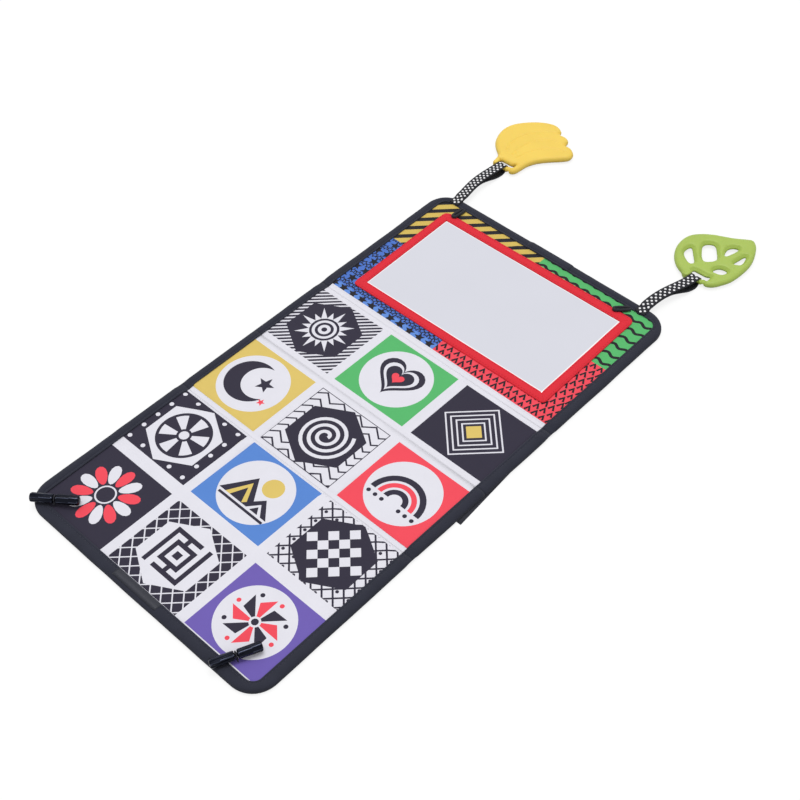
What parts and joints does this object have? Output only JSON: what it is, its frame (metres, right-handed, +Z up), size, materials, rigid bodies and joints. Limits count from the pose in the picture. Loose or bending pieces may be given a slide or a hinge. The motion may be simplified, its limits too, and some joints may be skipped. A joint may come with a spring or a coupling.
{
  "type": "tummy time book",
  "caption": "Fold-out padded cloth mat for babies, with a framed mirror panel, bold prints, teethers on ribbons, toggles and elastic loops.",
  "frame": {"origin": "middle of the mat's underside, where it lies on the floor", "axes": "+X to the right across the mat, +Y along the mat towards the mirror end, +Z up out of the printed side"},
  "size_m": [0.3354, 0.7339, 0.0154],
  "materials": {
    "print_cloth": "printed woven polyester, white ground with bold coloured patterns",
    "back_cloth": "plain black woven polyester",
    "binding_tape": "matt black woven tape folded over the edge and sewn",
    "foam": "soft white wadding",
    "trim_cloth": "red woven strip sewn round the mirror",
    "mirror": "bright flexible plastic mirror",
    "ribbon": "black ribbon with small white dots",
    "elastic": "black braided elastic cord",
    "label": "dark smooth blank patch",
    "toggle": "glossy black moulded plastic with flutes",
    "yellow_teether": "soft satin yellow moulded plastic",
    "green_teether": "soft satin green moulded plastic"
  },
  "bodies": {
    "mid_panel": {"mid_panel_front_cloth": "print_cloth", "mid_panel_foam": "foam", "mid_panel_back_cloth": "back_cloth", "binding_mid_left": "binding_tape", "binding_mid_right": "binding_tape"},
    "mirror_spine": {"mirror_fold_front_cloth": "print_cloth", "mirror_fold_back_cloth": "back_cloth", "mirror_fold_binding_left": "binding_tape", "mirror_fold_binding_right": "binding_tape"},
    "mirror_panel": {"mirror_panel_front_cloth": "print_cloth", "mirror_panel_foam": "foam", "mirror_panel_back_cloth": "back_cloth", "binding_mirror_panel": "binding_tape", "binding_join": "binding_tape", "mirror_sheet": "mirror", "mirror_trim_far": "trim_cloth", "mirror_trim_near": "trim_cloth", "mirror_trim_left": "trim_cloth", "mirror_trim_right": "trim_cloth", "strap_tab_left": "ribbon", "strap_tab_right": "ribbon"},
    "end_spine": {"end_fold_front_cloth": "print_cloth", "end_fold_back_cloth": "back_cloth", "end_fold_binding_left": "binding_tape", "end_fold_binding_right": "binding_tape"},
    "end_panel": {"end_panel_front_cloth": "print_cloth", "end_panel_foam": "foam", "end_panel_back_cloth": "back_cloth", "binding_end_panel": "binding_tape", "blank_label": "label"},
    "flap": {"stand_flap": "back_cloth"},
    "strap_left": {"strap_loop_left": "ribbon"},
    "strap_right": {"strap_loop_right": "ribbon"},
    "banana": {"banana_teether": "yellow_teether"},
    "leaf": {"leaf_teether": "green_teether"},
    "elastic_left": {"elastic_loop_left": "elastic"},
    "elastic_right": {"elastic_loop_right": "elastic"},
    "cord_left": {"toggle_cord_left": "elastic"},
    "cord_right": {"toggle_cord_right": "elastic"},
    "toggle_left": {"toggle_left": "toggle"},
    "toggle_right": {"toggle_right": "toggle"}
  },
  "joints": [
    {"name": "mirror_fold_first_crease", "type": "hinge", "parent": "mid_panel", "child": "mirror_spine", "pos_m": [0, 0.0875, 0.003], "axis": [1, 0, 0], "range_deg": [-85, 85]},
    {"name": "mirror_fold_second_crease", "type": "hinge", "parent": "mirror_spine", "child": "mirror_panel", "pos_m": [0, 0.0975, 0.003], "axis": [1, 0, 0], "range_deg": [-85, 85]},
    {"name": "end_fold_first_crease", "type": "hinge", "parent": "mid_panel", "child": "end_spine", "pos_m": [0, -0.0905, 0.003], "axis": [1, 0, 0], "range_deg": [-85, 85]},
    {"name": "end_fold_second_crease", "type": "hinge", "parent": "end_spine", "child": "end_panel", "pos_m": [0, -0.1005, 0.003], "axis": [1, 0, 0], "range_deg": [-85, 85]},
    {"name": "flap_swing", "type": "hinge", "parent": "mid_panel", "child": "flap", "pos_m": [0, 0.0839, 0.0004], "axis": [1, 0, 0], "range_deg": [0, 120]},
    {"name": "strap_left_bend", "type": "hinge", "parent": "mirror_panel", "child": "strap_left", "pos_m": [-0.128, 0.2826, 0.0087], "axis": [-1, 0, 0], "range_deg": [-160, 80]},
    {"name": "strap_right_bend", "type": "hinge", "parent": "mirror_panel", "child": "strap_right", "pos_m": [0.1185, 0.2826, 0.0087], "axis": [-1, 0, 0], "range_deg": [-160, 80]},
    {"name": "banana_swing", "type": "hinge", "parent": "strap_left", "child": "banana", "pos_m": [-0.132, 0.3556, 0.004], "axis": [1, 0, 0], "range_deg": [-75, 75]},
    {"name": "leaf_swing", "type": "hinge", "parent": "strap_right", "child": "leaf", "pos_m": [0.1295, 0.3506, 0.004], "axis": [1, 0, 0], "range_deg": [-75, 75]},
    {"name": "elastic_left_lift", "type": "hinge", "parent": "mirror_panel", "child": "elastic_left", "pos_m": [-0.113, 0.2691, 0.0066], "axis": [-1, 0, 0], "range_deg": [0, 140]},
    {"name": "elastic_right_lift", "type": "hinge", "parent": "mirror_panel", "child": "elastic_right", "pos_m": [0.107, 0.2691, 0.0066], "axis": [-0.766, 0.6428, 0], "range_deg": [0, 140]},
    {"name": "cord_left_lift", "type": "hinge", "parent": "end_panel", "child": "cord_left", "pos_m": [-0.12223, -0.26902, 0.0066], "axis": [0.8039, 0.5948, 0], "range_deg": [0, 85]},
    {"name": "cord_right_lift", "type": "hinge", "parent": "end_panel", "child": "cord_right", "pos_m": [0.11583, -0.26511, 0.0066], "axis": [0.4226, 0.9063, 0], "range_deg": [0, 85]},
    {"name": "toggle_left_roll", "type": "hinge", "parent": "cord_left", "child": "toggle_left", "pos_m": [-0.1252, -0.265, 0.0103], "axis": [0.8039, 0.5948, 0], "range_deg": [-180, 180]},
    {"name": "toggle_right_roll", "type": "hinge", "parent": "cord_right", "child": "toggle_right", "pos_m": [0.1113, -0.263, 0.0103], "axis": [0.4226, 0.9063, 0], "range_deg": [-180, 180]}
  ]
}
